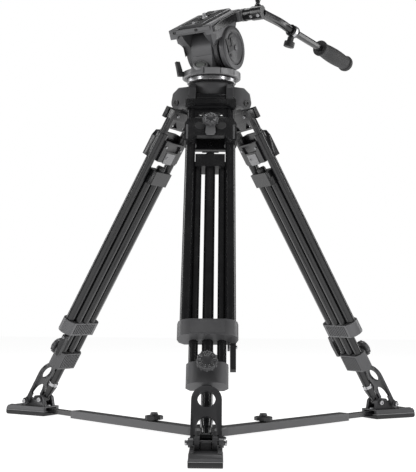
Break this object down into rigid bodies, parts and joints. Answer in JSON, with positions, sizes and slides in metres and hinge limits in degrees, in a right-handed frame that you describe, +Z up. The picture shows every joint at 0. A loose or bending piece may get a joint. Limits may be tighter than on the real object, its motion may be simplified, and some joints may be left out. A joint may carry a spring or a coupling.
{
  "type": "tripod with fluid head",
  "caption": "Three-legged camera stand with twin-tube telescoping legs, ground spreader, levelling bowl, and a tilting, panning fluid head with handle",
  "frame": {"origin": "centre of the spreader hub's underside, on the floor", "axes": "+Z up; leg 1 points towards -Y; +X to the right seen from leg 1"},
  "size_m": [0.9138, 0.8135, 0.8732],
  "materials": {
    "black_metal": "satin black",
    "grey_cast": "semi-matte dark grey",
    "dark_cast": "semi-matte charcoal",
    "bright_metal": "bright",
    "black_plastic": "matte",
    "rubber": "soft matte"
  },
  "bodies": {
    "crown": {"crown": "grey_cast"},
    "leg_1": {"leg_1_upper_frame": "black_metal"},
    "leg_1_outer": {"leg_1_outer_frame": "black_metal", "leg_1_tube_collar": "grey_cast"},
    "leg_1_upper_knob": {"leg_1_upper_knob": "grey_cast"},
    "leg_1_collar_lever": {"leg_1_collar_lever": "black_plastic"},
    "leg_1_inner": {"leg_1_inner_frame": "black_metal", "leg_1_lower_collar": "grey_cast"},
    "leg_1_lower_knob": {"leg_1_lower_knob": "grey_cast"},
    "leg_1_centre": {"leg_1_centre_tube": "black_metal"},
    "leg_1_foot": {"leg_1_foot_base": "dark_cast", "arm_1_inner": "black_metal"},
    "leg_1_latch": {"leg_1_foot_latch": "dark_cast"},
    "arm_1_outer": {"arm_1_outer": "grey_cast", "spreader_hub": "dark_cast"},
    "arm_1_knob": {"arm_1_knob": "black_plastic"},
    "leg_2": {"leg_2_upper_frame": "black_metal"},
    "leg_2_outer": {"leg_2_outer_frame": "black_metal", "leg_2_tube_collar": "grey_cast"},
    "leg_2_upper_knob": {"leg_2_upper_knob": "grey_cast"},
    "leg_2_collar_lever": {"leg_2_collar_lever": "black_plastic"},
    "leg_2_inner": {"leg_2_inner_frame": "black_metal", "leg_2_lower_collar": "grey_cast"},
    "leg_2_lower_knob": {"leg_2_lower_knob": "grey_cast"},
    "leg_2_centre": {"leg_2_centre_tube": "black_metal"},
    "leg_2_foot": {"leg_2_foot_base": "dark_cast"},
    "leg_2_latch": {"leg_2_foot_latch": "dark_cast"},
    "arm_2_outer": {"arm_2_outer": "grey_cast"},
    "arm_2_knob": {"arm_2_knob": "black_plastic"},
    "arm_2_inner": {"arm_2_inner": "black_metal"},
    "leg_3": {"leg_3_upper_frame": "black_metal"},
    "leg_3_outer": {"leg_3_outer_frame": "black_metal", "leg_3_tube_collar": "grey_cast"},
    "leg_3_upper_knob": {"leg_3_upper_knob": "grey_cast"},
    "leg_3_collar_lever": {"leg_3_collar_lever": "black_plastic"},
    "leg_3_inner": {"leg_3_inner_frame": "black_metal", "leg_3_lower_collar": "grey_cast"},
    "leg_3_lower_knob": {"leg_3_lower_knob": "grey_cast"},
    "leg_3_centre": {"leg_3_centre_tube": "black_metal"},
    "leg_3_foot": {"leg_3_foot_base": "dark_cast"},
    "leg_3_latch": {"leg_3_foot_latch": "dark_cast"},
    "arm_3_outer": {"arm_3_outer": "grey_cast"},
    "arm_3_knob": {"arm_3_knob": "black_plastic"},
    "arm_3_inner": {"arm_3_inner": "black_metal"},
    "half_ball": {"half_ball": "grey_cast"},
    "tie_down_knob": {"tie_down_knob": "black_plastic"},
    "pan_body": {"pan_housing": "grey_cast", "tilt_drum": "grey_cast"},
    "pan_lock": {"pan_lock_lever": "black_plastic"},
    "tilt_body": {"tilt_frame": "grey_cast"},
    "drag_dial": {"drag_dial": "grey_cast"},
    "camera_plate": {"camera_plate": "dark_cast"},
    "camera_screw": {"camera_screw": "bright_metal"},
    "plate_lock": {"plate_lock_lever": "black_plastic"},
    "handle": {"handle_clamp": "black_metal", "handle_front_tube": "black_metal"},
    "wing_screw": {"handle_wing_screw": "black_plastic"},
    "joint_knob": {"handle_joint_knob": "black_plastic"},
    "handle_rear": {"handle_rear_tube": "black_metal", "handle_grip": "rubber"}
  },
  "joints": [
    {"name": "leg_1_spread", "type": "hinge", "parent": "crown", "child": "leg_1", "pos_m": [0, 0.111, 0.657], "axis": [-1, 0, 0], "range_deg": [-5.5, 4.5]},
    {"name": "leg_1_upper_extension", "type": "slide", "parent": "leg_1", "child": "leg_1_outer", "axis": [0, -0.5195, -0.8545], "range_m": [0, 0.3]},
    {"name": "leg_1_middle_extension", "type": "slide", "parent": "leg_1_outer", "child": "leg_1_inner", "axis": [0, -0.5195, -0.8545], "range_m": [0, 0.32]},
    {"name": "leg_1_lower_extension", "type": "slide", "parent": "leg_1_inner", "child": "leg_1_centre", "axis": [0, -0.5195, -0.8545], "range_m": [0, 0.38]},
    {"name": "leg_1_upper_knob_turn", "type": "hinge", "parent": "leg_1_outer", "child": "leg_1_upper_knob", "pos_m": [0, 0.05543, 0.59716], "axis": [0, -0.8545, 0.5195], "range_deg": [0, 180]},
    {"name": "leg_1_lower_knob_turn", "type": "hinge", "parent": "leg_1_inner", "child": "leg_1_lower_knob", "pos_m": [0, -0.21372, 0.14872], "axis": [0, -0.8545, 0.5195], "range_deg": [0, 180]},
    {"name": "leg_1_lever_flip", "type": "hinge", "parent": "leg_1_outer", "child": "leg_1_collar_lever", "pos_m": [0.042, -0.16737, 0.17414], "axis": [1, 0, 0], "range_deg": [0, 70]},
    {"name": "leg_1_ankle", "type": "hinge", "parent": "leg_1_centre", "child": "leg_1_foot", "pos_m": [0, -0.25555, 0.03489], "axis": [-1, 0, 0], "range_deg": [-4.5, 5.5]},
    {"name": "leg_1_latch_open", "type": "hinge", "parent": "leg_1_foot", "child": "leg_1_latch", "pos_m": [0, -0.28955, 0.03109], "axis": [1, 0, 0], "range_deg": [0, 60]},
    {"name": "arm_1_telescope", "type": "slide", "parent": "leg_1_foot", "child": "arm_1_outer", "axis": [0, 1, 0], "range_m": [-0.06055, 0.04954]},
    {"name": "arm_1_knob_turn", "type": "hinge", "parent": "arm_1_outer", "child": "arm_1_knob", "pos_m": [0, -0.08, 0.0194], "axis": [0, 0, 1], "range_deg": [0, 180]},
    {"name": "leg_2_spread", "type": "hinge", "parent": "crown", "child": "leg_2", "pos_m": [-0.04936, 0.1965, 0.657], "axis": [0.5, 0.866, 0], "range_deg": [-5.5, 4.5]},
    {"name": "leg_2_upper_extension", "type": "slide", "parent": "leg_2", "child": "leg_2_outer", "axis": [-0.4499, 0.2598, -0.8545], "range_m": [0, 0.3]},
    {"name": "leg_2_middle_extension", "type": "slide", "parent": "leg_2_outer", "child": "leg_2_inner", "axis": [-0.4499, 0.2598, -0.8545], "range_m": [0, 0.32]},
    {"name": "leg_2_lower_extension", "type": "slide", "parent": "leg_2_inner", "child": "leg_2_centre", "axis": [-0.4499, 0.2598, -0.8545], "range_m": [0, 0.38]},
    {"name": "leg_2_upper_knob_turn", "type": "hinge", "parent": "leg_2_outer", "child": "leg_2_upper_knob", "pos_m": [-0.09749, 0.22429, 0.59716], "axis": [-0.74, 0.4272, 0.5195], "range_deg": [0, 180]},
    {"name": "leg_2_lower_knob_turn", "type": "hinge", "parent": "leg_2_inner", "child": "leg_2_lower_knob", "pos_m": [-0.33058, 0.35886, 0.14872], "axis": [-0.74, 0.4272, 0.5195], "range_deg": [0, 180]},
    {"name": "leg_2_lever_flip", "type": "hinge", "parent": "leg_2_outer", "child": "leg_2_collar_lever", "pos_m": [-0.31144, 0.29931, 0.17414], "axis": [-0.5, -0.866, 0], "range_deg": [0, 70]},
    {"name": "leg_2_ankle", "type": "hinge", "parent": "leg_2_centre", "child": "leg_2_foot", "pos_m": [-0.3668, 0.37977, 0.03489], "axis": [0.5, 0.866, 0], "range_deg": [-4.5, 5.5]},
    {"name": "leg_2_latch_open", "type": "hinge", "parent": "leg_2_foot", "child": "leg_2_latch", "pos_m": [-0.39625, 0.39677, 0.03109], "axis": [-0.5, -0.866, 0], "range_deg": [0, 60]},
    {"name": "arm_2_bolt", "type": "hinge", "parent": "leg_2_foot", "child": "arm_2_inner", "pos_m": [-0.35988, 0.37577, 0], "axis": [0, 0, 1], "range_deg": [-1.95, 1.6]},
    {"name": "arm_2_telescope", "type": "slide", "parent": "arm_2_inner", "child": "arm_2_outer", "axis": [0.6917, -0.7222, 0], "range_m": [-0.05804, 0.04749]},
    {"name": "arm_2_knob_turn", "type": "hinge", "parent": "arm_2_outer", "child": "arm_2_knob", "pos_m": [-0.10652, 0.11122, 0.0194], "axis": [0, 0, 1], "range_deg": [0, 180]},
    {"name": "leg_3_spread", "type": "hinge", "parent": "crown", "child": "leg_3", "pos_m": [0.04936, 0.1965, 0.657], "axis": [0.5, -0.866, 0], "range_deg": [-5.5, 4.5]},
    {"name": "leg_3_upper_extension", "type": "slide", "parent": "leg_3", "child": "leg_3_outer", "axis": [0.4499, 0.2598, -0.8545], "range_m": [0, 0.3]},
    {"name": "leg_3_middle_extension", "type": "slide", "parent": "leg_3_outer", "child": "leg_3_inner", "axis": [0.4499, 0.2598, -0.8545], "range_m": [0, 0.32]},
    {"name": "leg_3_lower_extension", "type": "slide", "parent": "leg_3_inner", "child": "leg_3_centre", "axis": [0.4499, 0.2598, -0.8545], "range_m": [0, 0.38]},
    {"name": "leg_3_upper_knob_turn", "type": "hinge", "parent": "leg_3_outer", "child": "leg_3_upper_knob", "pos_m": [0.09749, 0.22429, 0.59716], "axis": [0.74, 0.4272, 0.5195], "range_deg": [0, 180]},
    {"name": "leg_3_lower_knob_turn", "type": "hinge", "parent": "leg_3_inner", "child": "leg_3_lower_knob", "pos_m": [0.33058, 0.35886, 0.14872], "axis": [0.74, 0.4272, 0.5195], "range_deg": [0, 180]},
    {"name": "leg_3_lever_flip", "type": "hinge", "parent": "leg_3_outer", "child": "leg_3_collar_lever", "pos_m": [0.26944, 0.37206, 0.17414], "axis": [-0.5, 0.866, 0], "range_deg": [0, 70]},
    {"name": "leg_3_ankle", "type": "hinge", "parent": "leg_3_centre", "child": "leg_3_foot", "pos_m": [0.3668, 0.37977, 0.03489], "axis": [0.5, -0.866, 0], "range_deg": [-4.5, 5.5]},
    {"name": "leg_3_latch_open", "type": "hinge", "parent": "leg_3_foot", "child": "leg_3_latch", "pos_m": [0.39625, 0.39677, 0.03109], "axis": [-0.5, 0.866, 0], "range_deg": [0, 60]},
    {"name": "arm_3_bolt", "type": "hinge", "parent": "leg_3_foot", "child": "arm_3_inner", "pos_m": [0.35988, 0.37577, 0], "axis": [0, 0, 1], "range_deg": [-1.6, 1.95]},
    {"name": "arm_3_telescope", "type": "slide", "parent": "arm_3_inner", "child": "arm_3_outer", "axis": [-0.6917, -0.7222, 0], "range_m": [-0.05804, 0.04749]},
    {"name": "arm_3_knob_turn", "type": "hinge", "parent": "arm_3_outer", "child": "arm_3_knob", "pos_m": [0.10652, 0.11122, 0.0194], "axis": [0, 0, 1], "range_deg": [0, 180]},
    {"name": "head_level", "type": "hinge", "parent": "crown", "child": "half_ball", "pos_m": [0, 0.168, 0.6926], "axis": [1, 0, 0], "range_deg": [-3.5, 3.5]},
    {"name": "tie_down_turn", "type": "hinge", "parent": "half_ball", "child": "tie_down_knob", "pos_m": [0, 0.168, 0.62], "axis": [0, 0, 1], "range_deg": [0, 180]},
    {"name": "pan", "type": "hinge", "parent": "half_ball", "child": "pan_body", "pos_m": [0, 0.168, 0.707], "axis": [0, 0, 1], "continuous": true},
    {"name": "pan_lock_turn", "type": "hinge", "parent": "pan_body", "child": "pan_lock", "pos_m": [-0.05638, 0.14748, 0.714], "axis": [-0.9397, -0.342, 0], "range_deg": [0, 40]},
    {"name": "tilt", "type": "hinge", "parent": "pan_body", "child": "tilt_body", "pos_m": [0, 0.168, 0.768], "axis": [0.8746, -0.4848, 0], "range_deg": [-60, 30]},
    {"name": "drag_dial_turn", "type": "hinge", "parent": "tilt_body", "child": "drag_dial", "pos_m": [0.03936, 0.14618, 0.768], "axis": [0.8746, -0.4848, 0], "range_deg": [-135, 135]},
    {"name": "plate_slide", "type": "slide", "parent": "tilt_body", "child": "camera_plate", "axis": [0.4281, 0.7722, 0.4695], "range_m": [-0.03, 0.03]},
    {"name": "camera_screw_slide", "type": "slide", "parent": "camera_plate", "child": "camera_screw", "axis": [0.4281, 0.7722, 0.4695], "range_m": [-0.02, 0.02]},
    {"name": "plate_lock_turn", "type": "hinge", "parent": "tilt_body", "child": "plate_lock", "pos_m": [-0.05741, 0.17582, 0.82026], "axis": [0.8746, -0.4848, 0], "range_deg": [0, 45]},
    {"name": "handle_angle", "type": "hinge", "parent": "tilt_body", "child": "handle", "pos_m": [0.06719, 0.15225, 0.83915], "axis": [0.8746, -0.4848, 0], "range_deg": [-25, 60]},
    {"name": "wing_screw_turn", "type": "hinge", "parent": "handle", "child": "wing_screw", "pos_m": [0.09343, 0.1377, 0.83915], "axis": [0, 0, 1], "range_deg": [0, 180]},
    {"name": "joint_knob_turn", "type": "hinge", "parent": "handle", "child": "joint_knob", "pos_m": [0.1697, 0.2589, 0.82225], "axis": [-0.25, 0.0681, -0.9659], "range_deg": [0, 180]},
    {"name": "rear_tube_twist", "type": "hinge", "parent": "handle", "child": "handle_rear", "pos_m": [0.173, 0.258, 0.835], "axis": [0.5732, 0.8144, -0.0909], "range_deg": [-90, 90]}
  ],
  "couplings": [
    {"joint": "leg_1_ankle", "follows": "leg_1_spread", "ratio": -1},
    {"joint": "arm_1_telescope", "follows": "leg_1_spread", "m_per_rad": 0.6245},
    {"joint": "leg_2_spread", "follows": "leg_1_spread", "ratio": 1},
    {"joint": "leg_2_ankle", "follows": "leg_1_spread", "ratio": -1},
    {"joint": "arm_2_bolt", "follows": "leg_1_spread", "ratio": 0.34772},
    {"joint": "arm_2_telescope", "follows": "leg_1_spread", "m_per_rad": 0.59866},
    {"joint": "leg_3_spread", "follows": "leg_1_spread", "ratio": 1},
    {"joint": "leg_3_ankle", "follows": "leg_1_spread", "ratio": -1},
    {"joint": "arm_3_bolt", "follows": "leg_1_spread", "ratio": -0.34772},
    {"joint": "arm_3_telescope", "follows": "leg_1_spread", "m_per_rad": 0.59866}
  ]
}
